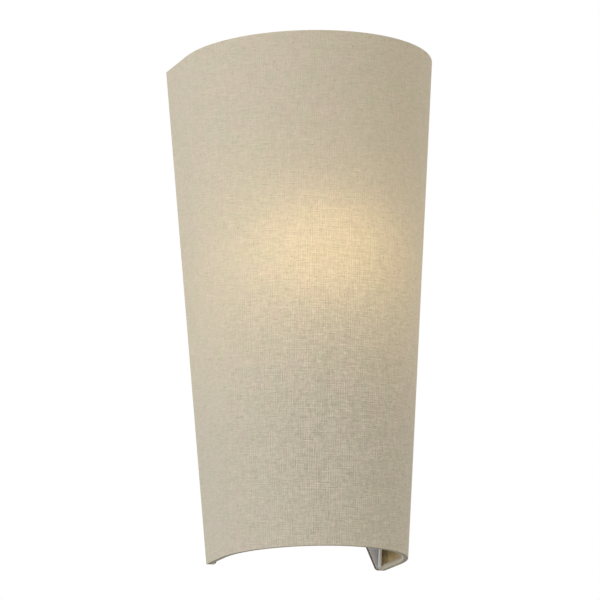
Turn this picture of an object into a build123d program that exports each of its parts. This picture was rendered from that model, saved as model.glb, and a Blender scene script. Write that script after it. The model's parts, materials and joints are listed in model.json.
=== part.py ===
"""Wall light with a tapered fabric half shade: a U-shaped linen shade that hangs flush on the wall,
and behind it a steel wall plate with an upright lampholder and a lamp.

Millimetres, +Z up, the room towards -Y, the wall is the plane Y = 0. The origin is the centre of the
wall plate's four fixing slots. A distance from the wall into the room is called a depth, so Y = -depth.
An inset is a distance inwards from the shade's outer face.
"""

import os
from math import acos, cos, degrees, pi, radians, sin, sqrt, tan

from build123d import *

# ---------------------------------------------------------------- shade: overall form
shade_height = 350.0
bottom_half_width = 66.7
top_half_width = 89.2
bottom_leg = 29.6
top_leg = 43.2
wall_gap = 0.5
wall_tier_count = 4

# ---------------------------------------------------------------- shade: sheets and hems
fabric_thickness = 0.5
liner_thickness = 0.4
glue_gap = 0.05
hem_thickness = 0.45
hem_tail_height = 8.5

# ---------------------------------------------------------------- shade: returns at the back
return_width = 22.0
return_end_width = 7.0
return_mitre_height = 31.0
return_corner_radius = 3.0
liner_edge_margin = 1.0

# ---------------------------------------------------------------- shade: wire frame and cross bars
wire_radius = 1.25
weld_gap = 0.05
rim_wire_clearance = 0.1
rim_wire_corner_radius = 2.0
rim_wire_turn_in = 2.4
bar_width = 14.0
bar_thickness = 1.5
bar_rim_distance = 57.0
bar_corner_radius = 2.0
bar_end_clearance = 0.3
bar_rib_height = 1.2
bar_rib_width = 5.0
bar_rib_length = 26.0
bar_rib_offset = 32.0
rib_draft = 30

# ---------------------------------------------------------------- wall plate
plate_width = 80.0
plate_bar_margin = 12.0
plate_thickness = 1.5
plate_corner_radius = 8.0
plate_flange_height = 5.0
plate_flange_setback = 30.0
plate_bend_radius = 1.2
slot_spacing_across = 56.0
slot_spacing_up = 180.0
slot_length = 14.0
slot_width = 5.0
bush_radius = 4.5
bush_chamfer = 0.5
part_gap = 0.3

# ---------------------------------------------------------------- thumb screws that hold the shade
screw_shank_radius = 2.5
screw_running_clearance = 0.08
screw_thread_engagement = 4.0
screw_thread_pitch = 0.8
screw_thread_depth = 0.35
screw_head_radius = 6.5
screw_head_length = 7.0
screw_knurl_count = 24
screw_knurl_depth = 0.5
screw_neck_radius = 4.2
screw_neck_length = 1.4
washer_radius = 5.5
washer_thickness = 0.8

# ---------------------------------------------------------------- lamp
lamp_depth = 66.0
lamp_light_centre = 27.0
globe_radius = 30.0
globe_centre_height = 72.0
globe_shoulder_angle = -42
glass_neck_flare = 0.2
glass_thickness = 0.8
glass_neck_clearance = 0.1
glass_neck_seat = 3.0
glass_neck_rise = 0.8
lamp_cap_height = 22.0
lamp_cap_core_radius = 12.5
lamp_thread_radius = 13.2
lamp_thread_pitch = 3.63
lamp_thread_turns = 4
lamp_thread_start = 2.0
lamp_cap_wall = 0.4
lamp_cap_lip = 2.0
lamp_insulator_height = 3.0
lamp_insulator_radius = 11.0
lamp_insulator_margin = 0.6
lamp_contact_radius = 4.8
lamp_contact_height = 1.4
lamp_contact_rounding = 0.9
stem_radius = 3.2
stem_top_height = 55.0
stem_top_rounding = 1.0
stem_flare_seat = 1.0
stem_flare_height = 10.0
filament_count = 4
filament_radius = 0.9
filament_length = 38.0
filament_circle_low = 6.0
filament_circle_high = 11.0
filament_foot_drop = 6.0
filament_end_gap = 0.2
support_radius = 0.4
support_spoke_excess = 0.8

# ---------------------------------------------------------------- lampholder
holder_radius = 19.0
holder_wall = 1.8
holder_mouth_radius = 14.6
holder_mouth_rounding = 0.6
holder_sleeve_draft = 0.6
holder_body_height = 35.0
holder_cap_height = 18.0
holder_cap_shoulder_height = 10.0
holder_cap_neck_height = 8.0
holder_cap_lean = 0.25
holder_neck_radius = 10.0
holder_collar_height = 9.0
holder_collar_slope = 3.0
holder_flute_margin = 1.5
holder_flute_count = 32
holder_flute_radius = 0.7
insert_thickness = 9.0
insert_step_height = 2.0
insert_clearance = 0.2
contact_strip_thickness = 0.5
contact_strip_width = 6.0
contact_strip_height = 17.0
contact_strip_rounding = 1.5
centre_contact_width = 6.0
centre_contact_height = 2.0
centre_contact_thickness = 0.5
centre_contact_bend_radius = 1.0
centre_contact_foot_end = -7.5
centre_contact_foot_bend = -4.0
centre_contact_top_bend = -1.8
centre_contact_top_end = 2.5
holder_terminal_offset = 9.0
holder_terminal_radius = 1.6
holder_terminal_length = 5.0
holder_terminal_head_radius = 2.6
holder_terminal_head_height = 1.6
holder_terminal_drop = 1.0

# ---------------------------------------------------------------- arm and what fastens the lampholder
arm_width = 26.0
arm_thickness = 2.0
arm_leg_height = 32.0
arm_bend_radius = 3.0
arm_inner_bend_radius = 1.5
arm_leg_rounding = 2.0
arm_rib_width = 6.0
arm_rib_height = 1.5
rivet_radius = 2.0
rivet_head_radius = 4.0
rivet_head_height = 1.6
rivet_head_rim = 0.2
rivet_low = 10.0
rivet_spacing = 13.0
nipple_radius = 5.0
nipple_bore_radius = 3.6
nipple_pitch = 1.0
nipple_groove = 0.45
nipple_stickout = 2.2
nipple_rise = 11.0
thread_clearance = 0.05
lock_washer_radius = 8.6
lock_washer_thickness = 0.8
lock_washer_teeth = 12
lock_washer_notch_length = 2.4
lock_washer_notch_width = 1.0
nut_across_flats = 14.0
nut_thickness = 4.0

# ---------------------------------------------------------------- terminals, earth and cable entry
block_x = 25.5
block_level = -53.5
block_width = 23.0
block_height = 17.0
block_base_thickness = 4.0
block_tower_height = 11.0
block_tower_width = 6.8
block_tower_margin = 1.0
block_corner_radius = 1.2
block_tower_corner_radius = 1.0
block_tower_draft = 2
pole_pitch = 8.0
sleeve_radius = 2.0
sleeve_bore_radius = 1.3
sleeve_length = 14.0
sleeve_depth = 6.5
terminal_screw_radius = 1.1
terminal_screw_length = 3.4
terminal_screw_spacing = 8.0
terminal_screw_reach = 0.4
terminal_screw_slot_width = 0.56
terminal_well_clearance = 0.4
block_screw_radius = 1.2
block_screw_head_radius = 1.9
block_screw_head_height = 1.8
block_screw_head_sink = 1.6
block_screw_head_clearance = 0.1
earth_x = 31.0
earth_level = -78.0
earth_screw_radius = 2.0
earth_head_radius = 3.8
earth_head_height = 2.4
earth_head_rounding = 0.8
earth_tag_radius = 4.2
earth_tag_thickness = 0.8
earth_tag_neck_width = 3.2
earth_tag_neck_reach = 8.1
driver_slot_width = 0.8
driver_slot_depth = 0.9
entry_x = 26.0
entry_level = -22.0
grommet_bore_radius = 4.5
grommet_body_radius = 6.0
grommet_flange_radius = 8.2
grommet_flange_thickness = 2.0
grommet_flange_rounding = 0.8
lead_radius = 1.0
lead_gap = 0.3
lead_spread = 1.7
lead_entry = 2.0
lead_bend_share = 0.45

# ---------------------------------------------------------------- levels and depths that follow
shade_top_level = shade_height / 2
shade_base_level = -shade_top_level
liner_inset = fabric_thickness + glue_gap
lined_inset = liner_inset + liner_thickness
rim_wire_inset = lined_inset + rim_wire_clearance + wire_radius
hem_radius = wire_radius + rim_wire_clearance + hem_thickness
hem_centre_inset = rim_wire_inset + hem_thickness
upright_inset = hem_centre_inset + hem_radius + weld_gap + wire_radius
upright_depth = wall_gap + upright_inset
bar_level = shade_top_level - bar_rim_distance
bar_back_depth = upright_depth + wire_radius + weld_gap
bar_front_depth = bar_back_depth + bar_thickness
plate_height = 2 * (bar_level + plate_bar_margin)
plate_flange_length = plate_height - 2 * plate_flange_setback
bush_front_depth = bar_back_depth - part_gap
washer_back_depth = bar_front_depth + part_gap
washer_front_depth = washer_back_depth + washer_thickness
screw_seat_depth = washer_front_depth + part_gap
screw_tip_depth = bush_front_depth - screw_thread_engagement
lamp_base_level = lamp_light_centre - globe_centre_height
insert_top_level = lamp_base_level - centre_contact_height
insert_bottom_level = insert_top_level - insert_thickness
holder_body_base = insert_bottom_level
holder_mouth_level = holder_body_base + holder_body_height
arm_top_level = holder_body_base - holder_cap_height
arm_bottom_level = arm_top_level - arm_thickness
lock_washer_bottom = arm_bottom_level - lock_washer_thickness
nut_bottom_level = lock_washer_bottom - nut_thickness
nipple_bottom_level = nut_bottom_level - nipple_stickout
nipple_top_level = arm_top_level + nipple_rise
block_back_depth = plate_thickness
pole_places = [block_x + pole_pitch * step for step in (-1, 0, 1)]

os.makedirs("parts", exist_ok=True)
WALL = Plane(origin=(0, 0, 0), x_dir=(1, 0, 0), z_dir=(0, -1, 0))


def save(piece, label):
    """Name a finished piece and write it."""
    piece.part.label = label
    export_step(piece.part, f"parts/{label}.step")


def at_depth(depth):
    """Sketch plane parallel to the wall: X stays X, the sketch's Y is the height, outwards is the room."""
    return WALL.offset(depth)


def along_taper(bottom, top, level):
    """Value at a level of a length that changes evenly from the shade's bottom to its top."""
    share = (level - shade_base_level) / shade_height
    return bottom + (top - bottom) * share


def half_width(level):
    return along_taper(bottom_half_width, top_half_width, level)


def leg_length(level):
    return along_taper(bottom_leg, top_leg, level)


def plan_face(level, inset, back_depth):
    """Filled plan of the shade: two straight legs from the wall and a half circle in front."""
    width = half_width(level) - inset
    leg = leg_length(level)
    with BuildSketch(Plane.XY.offset(level)) as plan:
        with BuildLine():
            Polyline((-width, -leg), (-width, -back_depth), (width, -back_depth), (width, -leg))
            ThreePointArc((width, -leg), (0, -leg - width), (-width, -leg))
        make_face()
    return plan.sketch.faces()[0]


def wall_band(low, high, outer_inset, inner_inset, back_depth, tier_count=1):
    """Open U-shaped band of the tapered wall between two levels and two insets, in one or more tiers."""
    levels = [low + (high - low) * tier / tier_count for tier in range(tier_count + 1)]
    with BuildPart() as band:
        loft([plan_face(level, outer_inset, back_depth) for level in levels], ruled=True)
        loft([plan_face(level, inner_inset, -1.0) for level in levels], ruled=True, mode=Mode.SUBTRACT)
    return band.part


def return_panels(inset, edge_margin, back_depth, thickness, low, high):
    """The two back returns in the wall plane, mitred towards both rims, with rounded free corners."""
    narrow = return_end_width - edge_margin
    wide = return_width - edge_margin
    low_mitre = low + return_mitre_height
    high_mitre = high - return_mitre_height
    with BuildSketch(at_depth(back_depth)) as panel:
        with BuildLine():
            Polyline(
                (half_width(low) - inset, low),
                (half_width(high) - inset, high),
                (half_width(high) - narrow, high),
                (half_width(high_mitre) - wide, high_mitre),
                (half_width(low_mitre) - wide, low_mitre),
                (half_width(low) - narrow, low),
                close=True,
            )
        make_face()
        free_corners = panel.vertices().filter_by(
            lambda v: abs(abs(v.X) - half_width(v.Z) + narrow) < 0.01
        )
        fillet(free_corners, return_corner_radius)
        mirror(about=Plane.YZ)
    return extrude(panel.sketch, thickness)


def rim_path(level, plan_level):
    """Line of a rim wire: short turned-in ends at the wall, the two legs and the half circle."""
    width = half_width(plan_level) - hem_centre_inset
    leg = leg_length(plan_level)
    depth = wall_gap + hem_centre_inset
    end = width - rim_wire_turn_in
    with BuildLine(Plane.XY.offset(level)) as path:
        FilletPolyline((-end, -depth), (-width, -depth), (-width, -leg), radius=rim_wire_corner_radius)
        ThreePointArc((-width, -leg), (0, -leg - width), (width, -leg))
        FilletPolyline((width, -leg), (width, -depth), (end, -depth), radius=rim_wire_corner_radius)
    return path.wire()


def path_start(path):
    """Section plane at the start of a rim's path: its x leads into the shade's inside, its y is up."""
    return Plane(origin=path @ 0, x_dir=(0, -1, 0), z_dir=path % 0)


def lead_path(points):
    """Route of a lead: straight runs joined by arcs as large as the runs beside them allow."""
    places = [Vector(*point) for point in points]
    radii = []
    for before, here, after in zip(places, places[1:], places[2:]):
        turn = (here - before).get_angle(after - here)
        shorter = min((here - before).length, (after - here).length)
        radii.append(lead_bend_share * shorter / tan(radians(turn) / 2))
    with BuildLine() as path:
        FilletPolyline(*places, radius=radii)
    return path.wire()


# ================================================================ shade
with BuildPart() as fabric_cover:
    add(wall_band(shade_base_level, shade_top_level, 0, fabric_thickness, wall_gap, wall_tier_count))
    add(return_panels(0, 0, wall_gap, fabric_thickness, shade_base_level, shade_top_level))
save(fabric_cover, "fabric_cover")

liner_low = shade_base_level + hem_thickness + glue_gap
liner_high = shade_top_level - hem_thickness - glue_gap
liner_back_depth = wall_gap + liner_inset
with BuildPart() as inner_liner:
    add(
        wall_band(
            liner_low, liner_high, liner_inset, lined_inset, liner_back_depth, wall_tier_count
        )
    )
    add(
        return_panels(
            liner_inset, liner_edge_margin, liner_back_depth, liner_thickness, liner_low, liner_high
        )
    )
save(inner_liner, "inner_liner")

# Each rim is a wire inside a hem, laid out on the plan of the shade at the hem's lowest level, where
# the tapered wall is narrowest. The hem's section is a foot under the sheets' edges, a
# roll around the wire and a tail glued up the liner. "inwards" points from the rim into the shade.
tail_inset = lined_inset + glue_gap
roll_end = 180 - degrees(acos((hem_centre_inset - tail_inset) / hem_radius))
for rim, rim_level, inwards in (("bottom", shade_base_level, 1), ("top", shade_top_level, -1)):
    wire_level = rim_level + inwards * hem_radius
    path = rim_path(wire_level, wire_level - hem_radius)

    with BuildPart() as rim_wire:
        with BuildSketch(path_start(path)):
            Circle(wire_radius)
        sweep(path=path)
    save(rim_wire, f"{rim}_rim_wire")

    tail_low, tail_high = sorted(
        rim_level + inwards * height for height in (hem_radius, hem_tail_height)
    )
    with BuildPart() as hem:
        with BuildSketch(path_start(path)):
            with BuildLine():
                roll_outside = CenterArc((0, 0), hem_radius, -90, 90 + roll_end)
                roll_inside = CenterArc((0, 0), hem_radius - hem_thickness, -90, 90 + roll_end)
                Line(roll_outside @ 1, roll_inside @ 1)
                Polyline(
                    roll_inside @ 0,
                    (liner_inset - hem_centre_inset, hem_thickness - hem_radius),
                    (liner_inset - hem_centre_inset, -hem_radius),
                    roll_outside @ 0,
                )
            make_face()
            if inwards < 0:
                mirror(about=Plane.XZ, mode=Mode.REPLACE)
        sweep(path=path)
        add(
            wall_band(
                tail_low, tail_high, tail_inset, tail_inset + hem_thickness, wall_gap + tail_inset
            )
        )
    save(hem, f"{rim}_hem")

for side, sign in (("left", -1), ("right", 1)):
    foot_level = shade_base_level + hem_radius
    head_level = shade_top_level - hem_radius
    head_plan_level = head_level - hem_radius
    with BuildPart() as upright_wire:
        with BuildLine() as upright_line:
            Line(
                (sign * (half_width(shade_base_level) - upright_inset), -upright_depth, foot_level),
                (sign * (half_width(head_plan_level) - upright_inset), -upright_depth, head_level),
            )
        with BuildSketch(Plane(origin=upright_line.line @ 0, z_dir=upright_line.line % 0)):
            Circle(wire_radius)
        sweep()
    save(upright_wire, f"{side}_upright_wire")

for place, level in (("upper", bar_level), ("lower", -bar_level)):
    narrow_end = half_width(level - bar_width / 2)
    bar_length = 2 * (narrow_end - tail_inset - bar_end_clearance)
    with BuildPart() as cross_bar:
        with BuildSketch(at_depth(bar_back_depth)):
            with Locations((0, level)):
                RectangleRounded(bar_length, bar_width, bar_corner_radius)
                Circle(screw_shank_radius + part_gap, mode=Mode.SUBTRACT)
        extrude(amount=bar_thickness)
        with BuildSketch(at_depth(bar_front_depth)):
            with Locations((-bar_rib_offset, level), (bar_rib_offset, level)):
                SlotOverall(bar_rib_length, bar_rib_width)
        extrude(amount=bar_rib_height, taper=rib_draft)
    save(cross_bar, f"{place}_cross_bar")

# ================================================================ thumb screws
for place, level in (("upper", bar_level), ("lower", -bar_level)):
    with BuildPart() as screw_washer:
        with BuildSketch(at_depth(washer_back_depth)):
            with Locations((0, level)):
                Circle(washer_radius)
                Circle(screw_shank_radius + part_gap, mode=Mode.SUBTRACT)
        extrude(amount=washer_thickness)
    save(screw_washer, f"{place}_screw_washer")

    shank_length = screw_seat_depth - screw_tip_depth
    head_depth = screw_seat_depth + screw_neck_length
    thread_count = int(screw_thread_engagement / screw_thread_pitch)
    thread_depths = [
        screw_tip_depth + screw_thread_pitch * (turn + 0.5) for turn in range(thread_count)
    ]
    with BuildPart() as thumb_screw:
        with BuildSketch(at_depth(screw_tip_depth)):
            with Locations((0, level)):
                Circle(screw_shank_radius)
        extrude(amount=shank_length)
        chamfer(thumb_screw.edges().sort_by(Axis.Y)[-1], screw_thread_depth)
        with BuildSketch(at_depth(screw_seat_depth)):
            with Locations((0, level)):
                Circle(screw_neck_radius)
        extrude(amount=screw_neck_length)
        with BuildSketch(at_depth(head_depth)):
            with Locations((0, level)):
                Circle(screw_head_radius)
        extrude(amount=screw_head_length)
        chamfer(thumb_screw.faces().sort_by(Axis.Y)[0].edges(), screw_knurl_depth)
        with BuildSketch(at_depth(head_depth)):
            with Locations((0, level)):
                with PolarLocations(screw_head_radius, screw_knurl_count):
                    Circle(screw_knurl_depth)
        extrude(amount=screw_head_length, mode=Mode.SUBTRACT)
        for thread_depth in thread_depths:
            with BuildSketch(at_depth(thread_depth - screw_thread_pitch / 4)):
                with Locations((0, level)):
                    Circle(screw_shank_radius + screw_thread_depth)
                    Circle(screw_shank_radius - screw_thread_depth, mode=Mode.SUBTRACT)
            extrude(amount=screw_thread_pitch / 2, mode=Mode.SUBTRACT)
    save(thumb_screw, f"{place}_thumb_screw")

# ================================================================ wall plate
plate_front = at_depth(plate_thickness)
slot_places = GridLocations(slot_spacing_across, slot_spacing_up, 2, 2)
with BuildPart() as wall_plate:
    with BuildSketch(at_depth(0)):
        RectangleRounded(plate_width, plate_height, plate_corner_radius)
        with slot_places:
            SlotOverall(slot_length, slot_width, mode=Mode.SUBTRACT)
        with Locations((entry_x, entry_level)):
            Circle(grommet_body_radius + thread_clearance, mode=Mode.SUBTRACT)
        with Locations((earth_x, earth_level)):
            Circle(earth_screw_radius + thread_clearance, mode=Mode.SUBTRACT)
        with Locations((block_x + pole_pitch / 2, block_level)):
            Circle(block_screw_radius + thread_clearance, mode=Mode.SUBTRACT)
        with Locations(*[(0, arm_top_level + rivet_low + step * rivet_spacing) for step in (0, 1)]):
            Circle(rivet_radius + thread_clearance, mode=Mode.SUBTRACT)
        with Locations((0, bar_level), (0, -bar_level)):
            Circle(screw_shank_radius + screw_running_clearance, mode=Mode.SUBTRACT)
    extrude(amount=plate_thickness)
    with BuildSketch(plate_front):
        with Locations(*[(sign * (plate_width - plate_thickness) / 2, 0) for sign in (-1, 1)]):
            Rectangle(plate_thickness, plate_flange_length)
    extrude(amount=plate_flange_height)
    inner_bends = (
        wall_plate.edges()
        .filter_by(Axis.Z)
        .filter_by(lambda e: abs(e.center().Y + plate_thickness) < 0.01)
        .filter_by(lambda e: abs(abs(e.center().X) - plate_width / 2 + plate_thickness) < 0.01)
    )
    fillet(inner_bends, plate_bend_radius)
save(wall_plate, "wall_plate")

with BuildPart() as threaded_bushes:
    with BuildSketch(plate_front):
        with Locations((0, bar_level), (0, -bar_level)):
            Circle(bush_radius)
            Circle(screw_shank_radius + screw_running_clearance, mode=Mode.SUBTRACT)
    extrude(amount=bush_front_depth - plate_thickness)
    chamfer(
        threaded_bushes.edges()
        .filter_by(GeomType.CIRCLE)
        .filter_by(lambda e: e.radius > bush_radius - 0.01)
        .group_by(Axis.Y)[0],
        bush_chamfer,
    )
save(threaded_bushes, "threaded_bushes")

with BuildPart() as cable_grommet:
    with BuildSketch(at_depth(0)):
        with Locations((entry_x, entry_level)):
            Circle(grommet_body_radius)
    extrude(amount=plate_thickness)
    with BuildSketch(plate_front):
        with Locations((entry_x, entry_level)):
            Circle(grommet_flange_radius)
    extrude(amount=grommet_flange_thickness)
    fillet(cable_grommet.faces().sort_by(Axis.Y)[0].edges(), grommet_flange_rounding)
    with BuildSketch(at_depth(0)):
        with Locations((entry_x, entry_level)):
            Circle(grommet_bore_radius)
    extrude(amount=plate_thickness + grommet_flange_thickness, mode=Mode.SUBTRACT)
save(cable_grommet, "cable_grommet")

# ================================================================ arm
lamp_axis = (0, -lamp_depth)
with BuildPart() as lamp_arm:
    with BuildSketch(Plane.XY.offset(arm_bottom_level)):
        with Locations((0, -(plate_thickness + lamp_depth) / 2)):
            Rectangle(arm_width, lamp_depth - plate_thickness)
        with Locations(lamp_axis):
            Circle(arm_width / 2)
            Circle(nipple_radius + thread_clearance, mode=Mode.SUBTRACT)
    extrude(amount=arm_thickness)
    with BuildSketch(plate_front):
        with Locations((0, arm_bottom_level + arm_leg_height / 2)):
            Rectangle(arm_width, arm_leg_height)
        with Locations(*[(0, arm_top_level + rivet_low + step * rivet_spacing) for step in (0, 1)]):
            Circle(rivet_radius + thread_clearance, mode=Mode.SUBTRACT)
    extrude(amount=arm_thickness)
    outer_bend = lamp_arm.edges().filter_by(Axis.X).group_by(Axis.Z)[0].sort_by(Axis.Y)[-1]
    fillet(outer_bend, arm_bend_radius)
    inner_bend = (
        lamp_arm.edges()
        .filter_by(Axis.X)
        .filter_by(lambda e: abs(e.center().Z - arm_top_level) < 0.01)
        .sort_by(Axis.Y)[-1]
    )
    fillet(inner_bend, arm_inner_bend_radius)
    leg_corners = lamp_arm.edges().filter_by(Axis.Y).group_by(Axis.Z)[-1]
    fillet(leg_corners, arm_leg_rounding)
    rib_start = plate_thickness + arm_thickness + arm_bend_radius
    rib_end = lamp_depth - lock_washer_radius - arm_thickness
    with BuildSketch(Plane.XY.offset(arm_bottom_level)):
        with Locations((0, -(rib_start + rib_end) / 2)):
            SlotOverall(rib_end - rib_start, arm_rib_width, rotation=90)
    extrude(amount=-arm_rib_height, taper=rib_draft)
save(lamp_arm, "lamp_arm")

with BuildPart() as arm_rivets:
    head_depth = plate_thickness + arm_thickness
    rivet_centres = [(0, arm_top_level + rivet_low + step * rivet_spacing) for step in (0, 1)]
    with BuildSketch(at_depth(thread_clearance)):
        with Locations(*rivet_centres):
            Circle(rivet_radius)
    extrude(amount=head_depth - thread_clearance)
    with BuildSketch(at_depth(head_depth)):
        with Locations(*rivet_centres):
            Circle(rivet_head_radius)
    extrude(amount=rivet_head_height)
    head_rims = arm_rivets.edges().filter_by(GeomType.CIRCLE).group_by(Axis.Y)[0]
    fillet(head_rims, rivet_head_height - rivet_head_rim)
save(arm_rivets, "arm_rivets")

# ================================================================ fastening of the lampholder
lamp_plane = Plane(origin=(0, -lamp_depth, 0))


def upright_plane(level):
    """Horizontal sketch plane centred on the lamp's upright axis."""
    return lamp_plane.offset(level)


# Profiles of turned pieces are drawn on the half plane beside the lamp's axis: x is the radius, y the level.
TURNING = Plane(origin=(0, -lamp_depth, 0), x_dir=(1, 0, 0), z_dir=(0, -1, 0))
LAMP_AXIS = Axis((0, -lamp_depth, 0), (0, 0, 1))

with BuildPart() as holder_nipple:
    with BuildSketch(upright_plane(nipple_bottom_level)):
        Circle(nipple_radius)
        Circle(nipple_bore_radius, mode=Mode.SUBTRACT)
    extrude(amount=nipple_top_level - nipple_bottom_level)
    for turn in range(int(nipple_stickout / nipple_pitch)):
        groove_level = nipple_bottom_level + nipple_pitch * (turn + 0.5)
        with BuildSketch(upright_plane(groove_level)):
            Circle(nipple_radius)
            Circle(nipple_radius - nipple_groove, mode=Mode.SUBTRACT)
        extrude(amount=nipple_pitch / 2, mode=Mode.SUBTRACT)
save(holder_nipple, "holder_nipple")

with BuildPart() as nipple_lock_washer:
    with BuildSketch(upright_plane(lock_washer_bottom)):
        Circle(lock_washer_radius)
        with PolarLocations(lock_washer_radius, lock_washer_teeth):
            Rectangle(lock_washer_notch_length, lock_washer_notch_width, mode=Mode.SUBTRACT)
        Circle(nipple_radius + thread_clearance, mode=Mode.SUBTRACT)
    extrude(amount=lock_washer_thickness)
save(nipple_lock_washer, "nipple_lock_washer")

with BuildPart() as nipple_nut:
    with BuildSketch(upright_plane(nut_bottom_level)):
        RegularPolygon(nut_across_flats / 2, 6, major_radius=False)
        Circle(nipple_radius + thread_clearance, mode=Mode.SUBTRACT)
    extrude(amount=nut_thickness)
save(nipple_nut, "nipple_nut")

# ================================================================ lampholder
cap_top_level = holder_body_base - thread_clearance
cap_shoulder = arm_top_level + holder_cap_shoulder_height
with BuildPart() as holder_cap:
    with BuildSketch(TURNING):
        with BuildLine():
            bore = nipple_radius + thread_clearance
            inner = holder_radius - holder_wall
            neck_top = arm_top_level + holder_cap_neck_height
            Polyline((bore, neck_top), (bore, arm_top_level), (holder_neck_radius, arm_top_level))
            Spline(
                (holder_neck_radius, arm_top_level),
                (holder_radius, cap_shoulder),
                tangents=[(holder_cap_lean, 1), (0, 1)],
            )
            Polyline((holder_radius, cap_shoulder), (holder_radius, cap_top_level), (inner, cap_top_level))
            Line((inner, cap_top_level), (inner, cap_shoulder))
            Spline(
                (inner, cap_shoulder),
                (bore + holder_wall, neck_top),
                tangents=[(0, -1), (-1, 0)],
            )
            Line((bore + holder_wall, neck_top), (bore, neck_top))
        make_face()
    revolve(axis=LAMP_AXIS)
save(holder_cap, "holder_cap")

collar_top = holder_body_base + holder_collar_height
with BuildPart() as holder_body:
    with BuildSketch(TURNING):
        with BuildLine():
            insert_bore = holder_radius - holder_wall
            sleeve_outer = holder_mouth_radius + holder_wall
            step_level = insert_top_level + insert_clearance
            Polyline(
                (insert_bore, holder_body_base),
                (holder_radius, holder_body_base),
                (holder_radius, collar_top),
                (sleeve_outer + holder_sleeve_draft, collar_top + holder_collar_slope),
                (sleeve_outer, holder_mouth_level),
                (holder_mouth_radius, holder_mouth_level),
                (holder_mouth_radius, step_level),
                (insert_bore, step_level),
                close=True,
            )
        make_face()
    revolve(axis=LAMP_AXIS)
    with BuildSketch(upright_plane(holder_body_base + holder_flute_margin)):
        with PolarLocations(holder_radius, holder_flute_count):
            Circle(holder_flute_radius)
    extrude(amount=holder_collar_height - 2 * holder_flute_margin, mode=Mode.SUBTRACT)
    mouth_rims = holder_body.faces().sort_by(Axis.Z)[-1].edges()
    fillet(mouth_rims, holder_mouth_rounding)
save(holder_body, "holder_body")

with BuildPart() as holder_insert:
    with BuildSketch(upright_plane(insert_bottom_level)):
        Circle(holder_radius - holder_wall - insert_clearance)
        with PolarLocations(holder_terminal_offset, 2):
            Circle(holder_terminal_radius + thread_clearance, mode=Mode.SUBTRACT)
    extrude(amount=insert_thickness - insert_step_height)
    with BuildSketch(upright_plane(insert_top_level - insert_step_height)):
        Circle(holder_mouth_radius - insert_clearance)
    extrude(amount=insert_step_height)
save(holder_insert, "holder_insert")

strip_radius = lamp_thread_radius + lead_gap
with BuildPart() as holder_side_contact:
    with BuildSketch(upright_plane(insert_top_level)):
        with Locations((strip_radius + contact_strip_thickness / 2, 0)):
            Rectangle(contact_strip_thickness, contact_strip_width)
    extrude(amount=contact_strip_height)
    fillet(holder_side_contact.edges().filter_by(Axis.X).group_by(Axis.Z)[-1], contact_strip_rounding)
save(holder_side_contact, "holder_side_contact")

contact_top = lamp_base_level - part_gap
with BuildPart() as holder_centre_contact:
    with BuildSketch(TURNING):
        with BuildLine():
            foot_middle = insert_top_level + centre_contact_thickness / 2
            top_middle = contact_top - centre_contact_thickness / 2
            FilletPolyline(
                (centre_contact_foot_end, foot_middle),
                (centre_contact_foot_bend, foot_middle),
                (centre_contact_top_bend, top_middle),
                (centre_contact_top_end, top_middle),
                radius=centre_contact_bend_radius,
            )
            offset(amount=centre_contact_thickness / 2, side=Side.BOTH, closed=True)
        make_face()
    extrude(amount=centre_contact_width / 2, both=True)
save(holder_centre_contact, "holder_centre_contact")

with BuildPart() as holder_terminal_screws:
    screw_base = insert_bottom_level - holder_terminal_drop
    with BuildSketch(upright_plane(screw_base)):
        with PolarLocations(holder_terminal_offset, 2):
            Circle(holder_terminal_radius)
    extrude(amount=holder_terminal_length)
    with BuildSketch(upright_plane(screw_base - holder_terminal_head_height)):
        with PolarLocations(holder_terminal_offset, 2):
            Circle(holder_terminal_head_radius)
            Rectangle(2 * holder_terminal_head_radius, driver_slot_width, mode=Mode.SUBTRACT)
    extrude(amount=holder_terminal_head_height)
save(holder_terminal_screws, "holder_terminal_screws")

# ================================================================ lamp
lamp_cap_base = lamp_base_level + lamp_contact_height + lamp_insulator_height
lamp_cap_top = lamp_cap_base + lamp_cap_height
glass_base = lamp_cap_top - glass_neck_seat
glass_neck_level = lamp_cap_top + glass_neck_rise
glass_neck_radius = lamp_cap_core_radius - lamp_cap_wall - glass_neck_clearance
stem_flare_radius = glass_neck_radius - glass_thickness - glue_gap


def globe_point(radius, angle):
    """Point of the globe's outline at an angle in degrees above the level of its centre."""
    return (radius * cos(radians(angle)), lamp_light_centre + radius * sin(radians(angle)))


def glass_profile(inset):
    """Outer or inner line of the glass: straight neck, hollow shoulder and round globe."""
    neck = glass_neck_radius - inset
    globe = globe_radius - inset
    shoulder_slope = radians(globe_shoulder_angle)
    with BuildLine() as line:
        Line((neck, glass_base), (neck, glass_neck_level))
        Spline(
            (neck, glass_neck_level),
            globe_point(globe, globe_shoulder_angle),
            tangents=[(glass_neck_flare, 1), (-sin(shoulder_slope), cos(shoulder_slope))],
        )
        ThreePointArc(globe_point(globe, globe_shoulder_angle), globe_point(globe, 0), globe_point(globe, 45))
        ThreePointArc(globe_point(globe, 45), globe_point(globe, 70), (0, lamp_light_centre + globe))
    return line


with BuildPart() as lamp_glass:
    outside = glass_profile(0)
    inside = glass_profile(glass_thickness)
    with BuildSketch(TURNING):
        with BuildLine():
            add(outside.line)
            add(inside.line)
            Line((glass_neck_radius - glass_thickness, glass_base), (glass_neck_radius, glass_base))
            Line(
                (0, lamp_light_centre + globe_radius - glass_thickness),
                (0, lamp_light_centre + globe_radius),
            )
        make_face()
    revolve(axis=LAMP_AXIS)
save(lamp_glass, "lamp_glass")

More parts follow.
